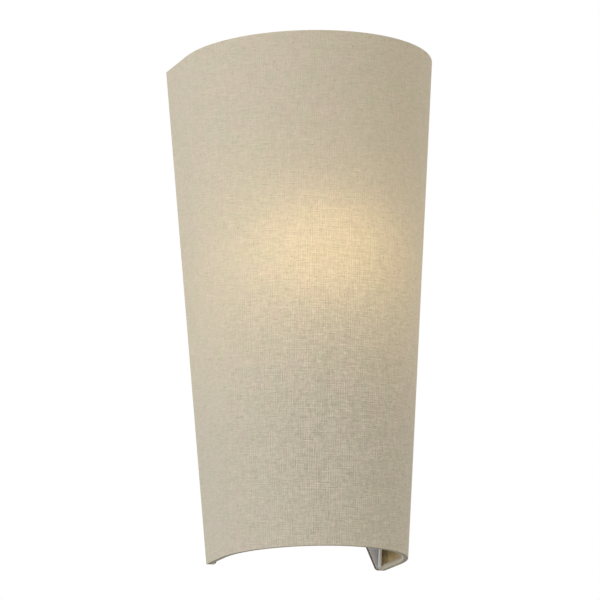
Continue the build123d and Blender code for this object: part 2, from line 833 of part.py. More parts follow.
with BuildPart() as lamp_cap:
    with BuildSketch(TURNING):
        with BuildLine():
            thread_base = lamp_cap_base + lamp_thread_start
            thread_top = thread_base + lamp_thread_turns * lamp_thread_pitch
            flank_radius = (lamp_cap_core_radius + lamp_thread_radius) / 2
            half_pitch = lamp_thread_pitch / 2
            for turn in range(lamp_thread_turns):
                crest_foot = thread_base + turn * lamp_thread_pitch
                root_foot = crest_foot + half_pitch
                ThreePointArc(
                    (flank_radius, crest_foot),
                    (lamp_thread_radius, crest_foot + half_pitch / 2),
                    (flank_radius, root_foot),
                )
                ThreePointArc(
                    (flank_radius, root_foot),
                    (lamp_cap_core_radius, root_foot + half_pitch / 2),
                    (flank_radius, root_foot + half_pitch),
                )
            Polyline(
                (flank_radius, thread_top),
                (flank_radius, lamp_cap_top),
                (lamp_cap_core_radius - lamp_cap_wall, lamp_cap_top),
                (lamp_cap_core_radius - lamp_cap_wall, thread_base),
                (lamp_insulator_radius - lamp_cap_wall, lamp_cap_base + lamp_cap_wall),
                (lamp_insulator_radius - lamp_cap_lip, lamp_cap_base + lamp_cap_wall),
                (lamp_insulator_radius - lamp_cap_lip, lamp_cap_base),
                (lamp_insulator_radius, lamp_cap_base),
                (flank_radius, thread_base),
            )
        make_face()
    revolve(axis=LAMP_AXIS)
save(lamp_cap, "lamp_cap")

with BuildPart() as lamp_insulator:
    with BuildSketch(TURNING):
        with BuildLine():
            Polyline(
                (0, lamp_base_level + lamp_contact_height),
                (lamp_contact_radius + lamp_insulator_margin, lamp_base_level + lamp_contact_height),
                (lamp_insulator_radius - lamp_insulator_margin, lamp_cap_base),
                (0, lamp_cap_base),
                close=True,
            )
        make_face()
    revolve(axis=LAMP_AXIS)
save(lamp_insulator, "lamp_insulator")

with BuildPart() as lamp_contact:
    with BuildSketch(upright_plane(lamp_base_level)):
        Circle(lamp_contact_radius)
    extrude(amount=lamp_contact_height)
    fillet(lamp_contact.faces().sort_by(Axis.Z)[0].edges(), lamp_contact_rounding)
save(lamp_contact, "lamp_contact")

stem_top_level = lamp_base_level + stem_top_height
with BuildPart() as lamp_stem:
    with BuildSketch(TURNING):
        with BuildLine():
            flare_level = glass_base + stem_flare_seat
            flare_top_level = flare_level + stem_flare_height
            Polyline((0, stem_top_level), (0, flare_level), (stem_flare_radius, flare_level))
            Spline(
                (stem_flare_radius, flare_level),
                (stem_radius, flare_top_level),
                tangents=[(-glass_neck_flare, 1), (0, 1)],
            )
            Polyline((stem_radius, flare_top_level), (stem_radius, stem_top_level), (0, stem_top_level))
        make_face()
    revolve(axis=LAMP_AXIS)
    fillet(lamp_stem.faces().sort_by(Axis.Z)[-1].edges(), stem_top_rounding)
save(lamp_stem, "lamp_stem")

filament_low_level = stem_top_level - filament_foot_drop
filament_slant = filament_circle_high - filament_circle_low
filament_rise = sqrt(filament_length**2 - filament_slant**2)
filament_high_level = filament_low_level + filament_rise
with BuildPart() as lamp_filaments:
    for turn in range(filament_count):
        angle = 2 * pi * (turn + 0.5) / filament_count
        low_x = filament_circle_low * cos(angle)
        low_y = filament_circle_low * sin(angle)
        high_x = filament_circle_high * cos(angle)
        high_y = filament_circle_high * sin(angle)
        foot = Vector(low_x, low_y - lamp_depth, filament_low_level)
        head = Vector(high_x, high_y - lamp_depth, filament_high_level)
        with BuildSketch(Plane(origin=foot, z_dir=head - foot)):
            Circle(filament_radius)
        extrude(amount=filament_length)
save(lamp_filaments, "lamp_filaments")

low_spoke_level = filament_low_level - filament_end_gap - support_radius
high_spoke_level = filament_high_level + filament_end_gap + support_radius
with BuildPart() as filament_support:
    support_base_level = stem_top_level + thread_clearance
    with BuildSketch(upright_plane(support_base_level)):
        Circle(support_radius)
    extrude(amount=high_spoke_level + support_radius - support_base_level)
    for level, reach in ((low_spoke_level, filament_circle_low), (high_spoke_level, filament_circle_high)):
        inner_reach = stem_radius + thread_clearance if level < stem_top_level else 0.0
        for turn in range(filament_count):
            angle = 2 * pi * (turn + 0.5) / filament_count
            spoke = Plane(origin=(0, -lamp_depth, level), z_dir=(cos(angle), sin(angle), 0))
            with BuildSketch(spoke.offset(inner_reach)):
                Circle(support_radius)
            extrude(amount=reach + support_spoke_excess - inner_reach)
save(filament_support, "filament_support")

# ================================================================ terminal block
with BuildPart() as terminal_block:
    with BuildSketch(at_depth(block_back_depth)):
        with Locations((block_x, block_level)):
            RectangleRounded(block_width, block_height, block_corner_radius)
    extrude(amount=block_base_thickness)
    tower_base = block_back_depth + block_base_thickness
    tower_height = block_height - 2 * block_tower_margin
    with BuildSketch(at_depth(tower_base)):
        with Locations(*[(x, block_level) for x in pole_places]):
            RectangleRounded(block_tower_width, tower_height, block_tower_corner_radius)
    extrude(amount=block_tower_height - block_base_thickness, taper=block_tower_draft)
    for x in pole_places:
        bore_plane = Plane(origin=(x, -sleeve_depth, block_level))
        with BuildSketch(bore_plane.offset(-block_height / 2)):
            Circle(sleeve_radius + thread_clearance)
        extrude(amount=block_height, mode=Mode.SUBTRACT)
    with BuildSketch(at_depth(sleeve_depth)):
        with Locations(*[(x, block_level) for x in pole_places]):
            with Locations((0, terminal_screw_spacing / 2), (0, -terminal_screw_spacing / 2)):
                Circle(terminal_screw_radius + terminal_well_clearance)
    extrude(amount=block_tower_height, mode=Mode.SUBTRACT)
    with BuildSketch(at_depth(block_back_depth)):
        with Locations((block_x + pole_pitch / 2, block_level)):
            Circle(block_screw_radius + thread_clearance)
    extrude(amount=block_base_thickness, mode=Mode.SUBTRACT)
    with BuildSketch(at_depth(tower_base - block_screw_head_sink)):
        with Locations((block_x + pole_pitch / 2, block_level)):
            Circle(block_screw_head_radius + block_screw_head_clearance)
    extrude(amount=block_tower_height, mode=Mode.SUBTRACT)
save(terminal_block, "terminal_block")

with BuildPart() as terminal_sleeves:
    for x in pole_places:
        with BuildSketch(Plane(origin=(x, -sleeve_depth, block_level - sleeve_length / 2))):
            Circle(sleeve_radius)
            Circle(sleeve_bore_radius, mode=Mode.SUBTRACT)
        extrude(amount=sleeve_length)
    with BuildSketch(at_depth(sleeve_depth)):
        with Locations(*[(x, block_level) for x in pole_places]):
            with Locations((0, terminal_screw_spacing / 2), (0, -terminal_screw_spacing / 2)):
                Circle(terminal_screw_radius + thread_clearance)
    extrude(amount=sleeve_radius + sleeve_bore_radius, mode=Mode.SUBTRACT)
save(terminal_sleeves, "terminal_sleeves")

with BuildPart() as terminal_screws:
    screw_depth = sleeve_depth + sleeve_bore_radius - terminal_screw_reach
    screw_centres = [
        (x, block_level + sign * terminal_screw_spacing / 2) for x in pole_places for sign in (-1, 1)
    ]
    with BuildSketch(at_depth(screw_depth)):
        with Locations(*screw_centres):
            Circle(terminal_screw_radius)
    extrude(amount=terminal_screw_length)
    with BuildSketch(at_depth(screw_depth + terminal_screw_length - driver_slot_depth)):
        with Locations(*screw_centres):
            Rectangle(2 * terminal_screw_radius, terminal_screw_slot_width)
    extrude(amount=driver_slot_depth, mode=Mode.SUBTRACT)
save(terminal_screws, "terminal_screws")

with BuildPart() as block_screw:
    head_seat = block_back_depth + block_base_thickness - block_screw_head_sink
    with BuildSketch(at_depth(thread_clearance)):
        with Locations((block_x + pole_pitch / 2, block_level)):
            Circle(block_screw_radius)
    extrude(amount=head_seat - thread_clearance)
    with BuildSketch(at_depth(head_seat)):
        with Locations((block_x + pole_pitch / 2, block_level)):
            Circle(block_screw_head_radius)
            Rectangle(2 * block_screw_head_radius, driver_slot_width, mode=Mode.SUBTRACT)
    extrude(amount=block_screw_head_height)
    with BuildSketch(at_depth(head_seat)):
        with Locations((block_x + pole_pitch / 2, block_level)):
            Circle(block_screw_head_radius)
    extrude(amount=block_screw_head_height - driver_slot_depth)
save(block_screw, "block_screw")

# ================================================================ earth point
tag_top_depth = plate_thickness + earth_tag_thickness
with BuildPart() as earth_tag:
    with BuildSketch(plate_front):
        with Locations((earth_x, earth_level)):
            Circle(earth_tag_radius)
        with Locations((earth_x, earth_level + earth_tag_neck_reach / 2)):
            Rectangle(earth_tag_neck_width, earth_tag_neck_reach)
        with Locations((earth_x, earth_level)):
            Circle(earth_screw_radius + thread_clearance, mode=Mode.SUBTRACT)
    extrude(amount=earth_tag_thickness)
save(earth_tag, "earth_tag")

with BuildPart() as earth_screw:
    with BuildSketch(at_depth(thread_clearance)):
        with Locations((earth_x, earth_level)):
            Circle(earth_screw_radius)
    extrude(amount=tag_top_depth - thread_clearance)
    with BuildSketch(at_depth(tag_top_depth)):
        with Locations((earth_x, earth_level)):
            Circle(earth_head_radius)
    extrude(amount=earth_head_height)
    fillet(earth_screw.faces().sort_by(Axis.Y)[0].edges(), earth_head_rounding)
    with BuildSketch(at_depth(tag_top_depth + earth_head_height - driver_slot_depth)):
        with Locations((earth_x, earth_level)):
            Rectangle(2 * earth_head_radius, driver_slot_width)
            Rectangle(driver_slot_width, 2 * earth_head_radius)
    extrude(amount=driver_slot_depth, mode=Mode.SUBTRACT)
save(earth_screw, "earth_screw")

# ================================================================ leads inside the light
lead_start = block_level - sleeve_length / 2 + lead_entry
holder_side = holder_body_base - lead_radius
live_points = [
    (pole_places[0], -sleeve_depth, lead_start),
    (pole_places[0], -sleeve_depth - 0.5, -70.0),
    (17.0, -14.0, -86.0),
    (9.5, -34.0, -96.0),
    (2.5, -56.0, -97.0),
    (-lead_spread, -lamp_depth, nipple_bottom_level - 4.0),
    (-lead_spread, -lamp_depth - 0.1, nipple_top_level + 0.5),
    (-5.0, -lamp_depth, holder_side),
]
neutral_points = [
    (pole_places[1], -sleeve_depth, lead_start),
    (pole_places[1] - 1.5, -sleeve_depth - 0.5, -72.0),
    (22.0, -17.0, -90.0),
    (14.0, -38.0, -101.0),
    (6.0, -58.0, -101.0),
    (lead_spread, -lamp_depth, nipple_bottom_level - 4.0),
    (lead_spread, -lamp_depth - 0.1, nipple_top_level + 0.5),
    (5.0, -lamp_depth, holder_side),
]
earth_points = [
    (pole_places[2], -sleeve_depth, lead_start),
    (pole_places[2] + 0.2, -sleeve_depth, -64.5),
    (earth_x, -tag_top_depth - lead_radius - 1.4, -68.2),
    (earth_x, -tag_top_depth - lead_radius - thread_clearance, earth_level + earth_head_radius + 1.0),
]
for name, points in (("live", live_points), ("neutral", neutral_points), ("earth", earth_points)):
    route = lead_path(points)
    with BuildPart() as lead:
        with BuildSketch(Plane(origin=route @ 0, z_dir=route % 0)):
            Circle(lead_radius)
        sweep(path=route)
    save(lead, f"{name}_lead")
    expected = route.length * pi * lead_radius**2
    arcs = [round(edge.radius, 1) for edge in route.edges().filter_by(GeomType.CIRCLE)]
    ratio = round(lead.part.volume / expected, 4)
    print(name, "lead: arc radii", arcs, "volume over section times length", ratio)
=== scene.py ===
import json
from math import cos, pi, radians, sin, sqrt

import bpy
import numpy as np
from mathutils import Matrix, Vector, noise


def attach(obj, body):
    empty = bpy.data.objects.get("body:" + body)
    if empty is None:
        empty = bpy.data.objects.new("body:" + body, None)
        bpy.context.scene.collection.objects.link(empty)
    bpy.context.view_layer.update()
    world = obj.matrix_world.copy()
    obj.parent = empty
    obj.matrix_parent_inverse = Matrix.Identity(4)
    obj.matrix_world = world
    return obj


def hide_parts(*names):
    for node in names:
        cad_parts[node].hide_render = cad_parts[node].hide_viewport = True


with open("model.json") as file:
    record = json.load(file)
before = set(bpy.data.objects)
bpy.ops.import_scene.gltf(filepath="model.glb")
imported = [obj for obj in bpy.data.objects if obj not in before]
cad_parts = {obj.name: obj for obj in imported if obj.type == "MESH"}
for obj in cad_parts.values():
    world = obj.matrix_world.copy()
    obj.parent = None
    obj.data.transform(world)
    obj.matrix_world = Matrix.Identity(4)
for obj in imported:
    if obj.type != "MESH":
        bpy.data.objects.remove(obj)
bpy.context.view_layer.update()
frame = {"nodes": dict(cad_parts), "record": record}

# Lengths below are in millimetres, as in the part's source, and are turned into metres when a mesh is
# made. The camera, the lamps and the floor are in metres. A level is a height, an inset a distance
# inwards from the shade's outer face.
MM = 0.001

# ---------------------------------------------------------------- camera
# Worked out from the shade's outline: below the light, to its left, looking up.
CAMERA_PLACE = Vector((-1.01784, -2.56967, -0.61447))
CAMERA_TURN, CAMERA_PITCH, CAMERA_ROLL = 0.38001, 0.22413, -0.02632
CAMERA_LENS, CAMERA_SENSOR = 241.2, 36


def make_camera():
    data = bpy.data.cameras.new("photo_camera")
    data.lens = CAMERA_LENS
    data.sensor_width = CAMERA_SENSOR
    camera = bpy.data.objects.new("photo_camera", data)
    bpy.context.scene.collection.objects.link(camera)
    level = cos(CAMERA_PITCH)
    forward = Vector((sin(CAMERA_TURN) * level, cos(CAMERA_TURN) * level, sin(CAMERA_PITCH)))
    level_right = Vector((cos(CAMERA_TURN), -sin(CAMERA_TURN), 0))
    level_up = level_right.cross(forward)
    right = level_right * cos(CAMERA_ROLL) + level_up * sin(CAMERA_ROLL)
    up = level_up * cos(CAMERA_ROLL) - level_right * sin(CAMERA_ROLL)
    turn = Matrix((right, up, -forward)).transposed().to_4x4()
    camera.matrix_world = Matrix.Translation(CAMERA_PLACE) @ turn
    bpy.context.scene.camera = camera


make_camera()

# ---------------------------------------------------------------- sizes of the shade, as in the CAD
SHADE_LOW, SHADE_HIGH = -175.0, 175.0
SHADE_HEIGHT = SHADE_HIGH - SHADE_LOW
BOTTOM_HALF_WIDTH, TOP_HALF_WIDTH = 66.7, 89.2
BOTTOM_LEG, TOP_LEG = 29.6, 43.2
WALL_GAP = 0.5
FABRIC_THICKNESS, LINER_THICKNESS, GLUE_GAP = 0.5, 0.4, 0.05
RETURN_WIDTH, RETURN_END, RETURN_MITRE, RETURN_CORNER = 22.0, 7.0, 31.0, 3.0
# the mitre's rounded corner meets its slope at this rise, and starts this far behind its narrow end
CORNER_RISE, CORNER_SETBACK = 1.694, 1.88
# radius of the fold between leg and return at some insets: cover, liner, wire and the hem's inside
FOLD_INSETS, FOLD_RADII = (0, 1.0, 2.75, 4.5), (1.5, 0.5, 2.0, 0.3)
# the hem: its wire's inset, the roll round it and the tail, which is higher than in the CAD
HEM_THICKNESS, HEM_TAIL, HEM_CENTRE, HEM_RADIUS = 0.45, 15.0, 2.75, 1.8
# how far the hem's ends come inwards, its tail's outer side, and the height in which it takes the taper
HEM_REACH, TAIL_INSET, TAPER_BLEND = HEM_CENTRE + 2.4, 1.0, 2.5
LAMP_LEVEL = 27.0

# spans of the meshes: in the return, the fold, the leg and the quarter circle
SHEET_STEPS, HEM_STEPS = (8, 6, 15, 66), (2, 6, 10, 66)
# rows of a sheet: rises near a rim with the shares of the thickness where its rounded edge has its
# faces, rises up the mitre, and the count of rows between the mitres
EDGE_ROWS = ((0.0, 0.4, 0.7), (0.06, 0.14, 0.88), (0.2, 0.0, 1.0))
MITRE_ROWS = (0.6, 1.1, CORNER_RISE, 3, 5, 8, 12, 16, 20, 24, 28, RETURN_MITRE)
MIDDLE_ROWS, MIDDLE_ROW_GAP = 118, 3
FREE_EDGE_LEAN = 0.3
COVER_UNEVENNESS = 0.05


def half_width(level):
    return BOTTOM_HALF_WIDTH + (TOP_HALF_WIDTH - BOTTOM_HALF_WIDTH) * (level - SHADE_LOW) / SHADE_HEIGHT


def leg(level):
    return BOTTOM_LEG + (TOP_LEG - BOTTOM_LEG) * (level - SHADE_LOW) / SHADE_HEIGHT


def return_reach(level, low, high, margin):
    """How far a return comes inwards at a level: mitred towards both rims, its corners rounded."""
    rise = min(level - low, high - level)
    narrow = RETURN_END - margin
    if rise < CORNER_RISE:
        return narrow - CORNER_SETBACK + sqrt(max(0, RETURN_CORNER ** 2 - (RETURN_CORNER - rise) ** 2))
    slope = (RETURN_WIDTH - RETURN_END) / RETURN_MITRE
    return min(narrow + slope * rise, RETURN_WIDTH - margin)


def half_plan(level, inset, reach, steps):
    """Plan of one half of the shade at a level and an inset, from the free edge of its return, round
    the folded corner, along the leg and round to the front middle."""
    width = half_width(level) - inset
    back = -(WALL_GAP + inset)
    fold = float(np.interp(inset, FOLD_INSETS, FOLD_RADII))
    legs = leg(level)
    flat, turn, side, front = steps
    edge = half_width(level) - reach
    points = [(edge + (width - fold - edge) * s / flat, back) for s in range(flat)]
    points += [
        (width - fold + fold * sin(a), back - fold + fold * cos(a))
        for a in (pi / 2 * s / turn for s in range(turn))
    ]
    points += [(width, back - fold + (fold - legs - back) * s / side) for s in range(side)]
    points += [
        (width * cos(a), -legs - width * sin(a)) for a in (pi / 2 * s / front for s in range(front + 1))
    ]
    return points


def whole_plan(level, inset, reach, steps):
    """The left half from its free edge to the front middle, then the right half back to its own."""
    right = half_plan(level, inset, reach, steps)
    left = [(-x, y) for x, y in right]
    return left + right[-2::-1]


# ---------------------------------------------------------------- meshes of the sheets and the hems
def loops_mesh(name, loops, cloth_place):
    """Closed skin through loops of points that all have the same count, with strip caps at both ends.
    Each loop runs out on one face and back on the other, so a cap joins its two runs."""
    stations, count, _ = loops.shape
    ring = np.arange(count)
    following = (ring + 1) % count
    faces = []
    for s in range(stations - 1):
        a, b = s * count, (s + 1) * count
        faces += np.stack((a + ring, a + following, b + following, b + ring), 1).tolist()
    half = count // 2
    for s, flip in ((0, False), (stations - 1, True)):
        base = s * count
        for k in range(half - 1):
            face = [base + k, base + count - 1 - k, base + count - 2 - k, base + k + 1]
            faces.append(face[::-1] if flip else face)
    mesh = bpy.data.meshes.new(name)
    mesh.from_pydata((loops.reshape(-1, 3) * MM).tolist(), [], faces)
    mesh.update()
    place = mesh.attributes.new("cloth_place", "FLOAT_VECTOR", "POINT")
    place.data.foreach_set("vector", (cloth_place.reshape(-1, 3) * MM).astype(np.float32).ravel())
    mesh.shade_smooth()
    piece = bpy.data.objects.new(name, mesh)
    bpy.context.scene.collection.objects.link(piece)
    return piece


def flattened(low_line, high_line):
    """The ruled wall between two lines of points, laid out flat by its triangles from the middle to
    both ends. Gives the flat places of the low and the high line."""
    count = len(low_line)
    middle = count // 2
    low, high = np.zeros((count, 2)), np.zeros((count, 2))
    high[middle] = (0, np.linalg.norm(high_line[middle] - low_line[middle]))
    for direction in (1, -1):
        i = middle
        while 0 <= i + direction < count:
            j = i + direction
            across = high[i] - low[i]
            span = np.linalg.norm(across)
            along = across / span
            outwards = np.array((along[1], -along[0])) * direction
            for line, flat in ((low_line, low), (high_line, high)):
                to_low = np.linalg.norm(line[j] - low_line[i])
                to_high = np.linalg.norm(line[j] - high_line[i])
                up = (to_low ** 2 - to_high ** 2 + span ** 2) / (2 * span)
                flat[j] = low[i] + along * up + outwards * sqrt(max(0, to_low ** 2 - up ** 2))
            i = j
    return low, high


def sheet_rows(low, high, outer, thickness):
    """Levels of a sheet's rows, each with the insets of its outer and its inner face."""
    near_rim = [(h, outer + a * thickness, outer + b * thickness) for h, a, b in EDGE_ROWS]
    near_rim += [(h, outer, outer + thickness) for h in MITRE_ROWS]
    margin = RETURN_MITRE + MIDDLE_ROW_GAP
    middle_levels = np.linspace(low + margin, high - margin, MIDDLE_ROWS)
    rows = [(low + h, a, b) for h, a, b in near_rim]
    rows += [(level, outer, outer + thickness) for level in middle_levels]
    return rows + [(high - h, a, b) for h, a, b in near_rim[::-1]]


def roughen(rows, face, most):
    """Lifts a face unevenly, always outwards and by most at the most, as glued cloth lies."""
    for row, points in zip(rows, face):
        for p in points:
            away = np.array((p[0], min(0, p[1] + leg(row[0]))))
            size = np.linalg.norm(away)
            at = Vector(p)
            lift = 0.5 + 0.5 * noise.noise(at * 0.045) + 0.25 * noise.noise(at * 0.16)
            if size > 1:
                p[:2] += away / size * most * min(1, max(0, lift))


def shade_sheet(name, low, high, outer, thickness, margin, unevenness):
    """A sheet glued up the whole shade: its wall, its two folded corners and its two returns."""
    rows = sheet_rows(low, high, outer, thickness)
    outside, inside = [], []
    for level, a, b in rows:
        reach = return_reach(level, low, high, margin)
        for face, inset in ((outside, a), (inside, b)):
            face.append([(x, y, level) for x, y in whole_plan(level, inset, reach, SHEET_STEPS)])
    outside, inside = np.array(outside), np.array(inside)
    # the free edges are rounded: the last station of each face leans to the middle of the thickness
    for edge in (0, -1):
        gap = inside[:, edge] - outside[:, edge]
        outside[:, edge] += gap * FREE_EDGE_LEAN
        inside[:, edge] -= gap * FREE_EDGE_LEAN
    # flat places: the wall and the folds by triangles, the returns straight on from them
    count = outside.shape[1]
    first, last = SHEET_STEPS[0], count - 1 - SHEET_STEPS[0]
    low_flat, high_flat = flattened(outside[0, first:last + 1], outside[-1, first:last + 1])
    share = ((np.array([r[0] for r in rows]) - low) / (high - low))[:, None, None]
    flat = np.zeros(outside.shape)
    flat[:, first:last + 1, :2] = low_flat[None] * (1 - share) + high_flat[None] * share
    returns = ((first, first + 1, range(first)), (last, last - 1, range(last + 1, count)))
    for edge, inner, stations in returns:
        away = flat[:, edge] - flat[:, inner]
        away /= np.linalg.norm(away, axis=1)[:, None]
        for k in stations:
            run = np.linalg.norm(outside[:, k] - outside[:, edge], axis=1)
            flat[:, k] = flat[:, edge] + away * run[:, None]
    if unevenness:
        roughen(rows, outside, unevenness)
    loops = np.concatenate((outside, inside[::-1]), 0).transpose(1, 0, 2)
    places = np.concatenate((flat, flat[::-1] + np.array((0, 0, 1.0))), 0).transpose(1, 0, 2)
    piece = loops_mesh(name, loops, places)
    spans = np.linalg.norm(np.diff(flat, axis=1), axis=2).sum(1)
    rises = np.diff(share[:, 0, 0]) * np.linalg.norm(high_flat[len(high_flat) // 2])
    area = float(((spans[1:] + spans[:-1]) / 2 * rises).sum())
    box = flat[..., :2].reshape(-1, 2)
    flat_size = tuple(float(size) for size in (box.max(0) - box.min(0)) * MM)
    return piece, flat_size, area * MM * MM


def hem_section():
    """(inset, height) round the hem: a foot under the sheets' edges, a roll round the wire and a tail
    up the liner, first along its outer side and then back along its inner side."""
    def arc(radius, start, end, count):
        return [
            (HEM_CENTRE + radius * cos(radians(a)), HEM_RADIUS + radius * sin(radians(a)))
            for a in np.linspace(start, end, count)
        ]

    tail_inner, tail_outer, tail_end = TAIL_INSET + HEM_THICKNESS, TAIL_INSET, HEM_TAIL - 0.2
    foot_under = [(0.58, 0.03), (0.7, 0.0), (1.2, 0.0), (2.0, 0.0)]
    roll = arc(HEM_RADIUS, -90, 118, 20)
    neck = [(1.72, 3.52), (1.56, 3.82), (1.48, 4.15), (tail_inner, 4.5)]
    up_tail = [(tail_inner, h) for h in (5.5, 7.0, 9.0, 11.0, 13.0, tail_end)] + [(1.38, HEM_TAIL - 0.04)]
    down = (tail_end, 13.0, 11.0, 9.0, 7.0, 5.5, 4.5, 4.15, 3.82, 3.52, 2.6, 2.2)
    down_tail = [(1.07, HEM_TAIL - 0.04)] + [(tail_outer, h) for h in down]
    pocket = arc(HEM_RADIUS - HEM_THICKNESS, 166, -90, 19)
    foot_over = [(inset, HEM_THICKNESS) for inset in (2.0, 1.2, 0.7)] + [(0.58, 0.42)]
    return foot_under + roll + neck + up_tail, down_tail + pocket + foot_over


def running_length(points):
    return np.cumsum([0] + [np.hypot(*np.subtract(b, a)) for a, b in zip(points, points[1:])])


def hem(name, rim_level, inwards):
    """A rim's rolled hem. inwards is 1 where the shade lies above the rim and -1 where it lies below."""
    forth, back = hem_section()
    # both runs need the same count of points, so the shorter is filled along its longest span
    while len(forth) != len(back):
        short = forth if len(forth) < len(back) else back
        k = int(np.argmax([np.hypot(b[0] - a[0], b[1] - a[1]) for a, b in zip(short, short[1:])]))
        short.insert(k + 1, ((short[k][0] + short[k + 1][0]) / 2, (short[k][1] + short[k + 1][1]) / 2))
    plan_base = rim_level if inwards > 0 else rim_level - 2 * HEM_RADIUS
    lines = []
    for inset, height in forth + back:
        # the roll keeps one plan all round, and the tail follows the shade's taper
        level = rim_level + inwards * height
        blend = min(1, max(0, (height - HEM_RADIUS) / TAPER_BLEND))
        plan_level = plan_base + (level - plan_base) * blend
        lines.append([(x, y, level) for x, y in whole_plan(plan_level, inset, HEM_REACH, HEM_STEPS)])
    loops = np.array(lines).transpose(1, 0, 2)
    runs = running_length(whole_plan(plan_base, HEM_CENTRE, HEM_REACH, HEM_STEPS))
    across = running_length(forth)
    places = np.zeros(loops.shape)
    places[..., 0] = runs[:, None]
    places[..., 1] = np.concatenate((across, across[::-1]))[None]
    if inwards < 0:
        loops = loops[:, ::-1]
        places = places[:, ::-1]
    piece = loops_mesh(name, loops, places)
    return piece, (runs[-1] * MM, across.max() * MM)


# ---------------------------------------------------------------- node helper
SHADER_INPUTS = {
    "colour": "Base Color", "rough": "Roughness", "metal": "Metallic", "normal": "Normal", "ior": "IOR",
    "sheen": "Sheen Weight", "sheen_rough": "Sheen Roughness", "coat": "Coat Weight",
    "coat_rough": "Coat Roughness", "specular": "Specular IOR Level", "glow": "Emission Color",
    "glow_strength": "Emission Strength", "transmission": "Transmission Weight",
    "subsurface": "Subsurface Weight",
}


class Nodes:
    """The node tree of a material or a world, with short calls for the nodes used here."""

    def __init__(self, owner):
        owner.use_nodes = True
        self.owner, self.tree = owner, owner.node_tree
        self.tree.nodes.clear()

    def add(self, kind, **settings):
        node = self.tree.nodes.new(kind)
        for key, value in settings.items():
            setattr(node, key, value)
        return node

    def put(self, socket, value):
        if isinstance(value, bpy.types.NodeSocket):
            self.tree.links.new(value, socket)
        elif isinstance(value, tuple) and len(value) == 3 and socket.type == "RGBA":
            socket.default_value = (*value, 1.0)
        else:
            socket.default_value = value

    def math(self, operation, *values, clamp=False):
        node = self.add("ShaderNodeMath", operation=operation, use_clamp=clamp)
        for socket, value in zip(node.inputs, values):
            self.put(socket, value)
        return node.outputs[0]

    def total(self, first, *others):
        for other in others:
            first = self.math("ADD", first, other)
        return first

    def product(self, first, second):
        return self.math("MULTIPLY", first, second)

    def centred(self, value):
        """A value that lies round a half, moved to lie round nought."""
        return self.math("SUBTRACT", value, 0.5)

    def vector(self, operation, *values):
        node = self.add("ShaderNodeVectorMath", operation=operation)
        for socket, value in zip(node.inputs, values):
            self.put(socket, value)
        return node.outputs["Value" if operation in ("DOT_PRODUCT", "LENGTH") else "Vector"]

    def scaled(self, place, x, y, z):
        return self.vector("MULTIPLY", place, (x, y, z))

    def moved(self, place, x, y, z):
        return self.vector("ADD", place, (x, y, z))

    def split(self, place):
        node = self.add("ShaderNodeSeparateXYZ")
        self.put(node.inputs[0], place)
        return node.outputs

    def joined(self, x, y, z=0.0):
        node = self.add("ShaderNodeCombineXYZ")
        for socket, value in zip(node.inputs, (x, y, z)):
            self.put(socket, value)
        return node.outputs[0]

    def object_place(self):
        """The point on the piece in its own axes, in millimetres."""
        return self.scaled(self.add("ShaderNodeTexCoord").outputs["Object"], 1000, 1000, 1000)

    def cloth_place(self):
        """The point on the sheet laid flat, in millimetres. Its third number is 1 on the inner face."""
        stored = self.add("ShaderNodeAttribute", attribute_name="cloth_place").outputs["Vector"]
        return self.scaled(stored, 1000, 1000, 1000)

    def noise(self, place, scale=1.0, detail=2.0, roughness=0.5):
        node = self.add("ShaderNodeTexNoise")
        self.put(node.inputs["Vector"], place)
        self.put(node.inputs["Scale"], scale)
        self.put(node.inputs["Detail"], detail)
        self.put(node.inputs["Roughness"], roughness)
        return node.outputs[0]

    def scatter(self, x, y):
        """An even random number for each pair of whole numbers, less a half."""
        node = self.add("ShaderNodeTexWhiteNoise", noise_dimensions="2D")
        self.put(node.inputs["Vector"], self.joined(x, y))
        return self.centred(node.outputs["Value"])

    def specks(self, place, strength):
        """Scattered specks in the plane of the cloth, each of its own size and about half left out."""
        node = self.add("ShaderNodeTexVoronoi", voronoi_dimensions="2D")
        self.put(node.inputs["Vector"], place)
        self.put(node.inputs["Scale"], 1.0)
        chance = self.math("MAXIMUM", self.centred(self.split(node.outputs["Color"])[0]), 0.0)
        reach = self.math("MULTIPLY_ADD", chance, 0.17, 0.0001)
        distance = self.math("DIVIDE", node.outputs["Distance"], reach)
        return self.spread(distance, 0.35, 1.0, strength, 0.0)

    def cells(self, place, scale):
        node = self.add("ShaderNodeTexVoronoi")
        self.put(node.inputs["Vector"], place)
        self.put(node.inputs["Scale"], scale)
        return node.outputs["Distance"]

    def spread(self, value, low, high, to_low=0.0, to_high=1.0, curve="LINEAR"):
        """A value taken from the range low to high to the range to_low to to_high, and kept in it."""
        node = self.add("ShaderNodeMapRange", interpolation_type=curve)
        given = {"Value": value, "From Min": low, "From Max": high, "To Min": to_low, "To Max": to_high}
        for key, number in given.items():
            self.put(node.inputs[key], number)
        return node.outputs[0]

    def mix(self, share, first, second, blend="MIX"):
        node = self.add("ShaderNodeMix", data_type="RGBA", blend_type=blend)
        share_socket, first_socket, second_socket = (node.inputs[k] for k in (0, 6, 7))
        self.put(share_socket, share)
        self.put(first_socket, first)
        self.put(second_socket, second)
        return node.outputs[2]

    def times(self, colour, amount):
        """A colour times a number, as a colour."""
        return self.mix(1.0, colour, self.joined(amount, amount, amount), "MULTIPLY")

    def bump(self, height, distance, strength=1.0):
        node = self.add("ShaderNodeBump")
        self.put(node.inputs["Height"], height)
        self.put(node.inputs["Distance"], distance)
        self.put(node.inputs["Strength"], strength)
        return node.outputs[0]

    def shade(self, **values):
        """Ends a material with one shader and gives the material."""
        shader = self.add("ShaderNodeBsdfPrincipled")
        for key, value in values.items():
            self.put(shader.inputs[SHADER_INPUTS[key]], value)
        output = self.add("ShaderNodeOutputMaterial")
        self.put(output.inputs["Surface"], shader.outputs[0])
        return self.owner


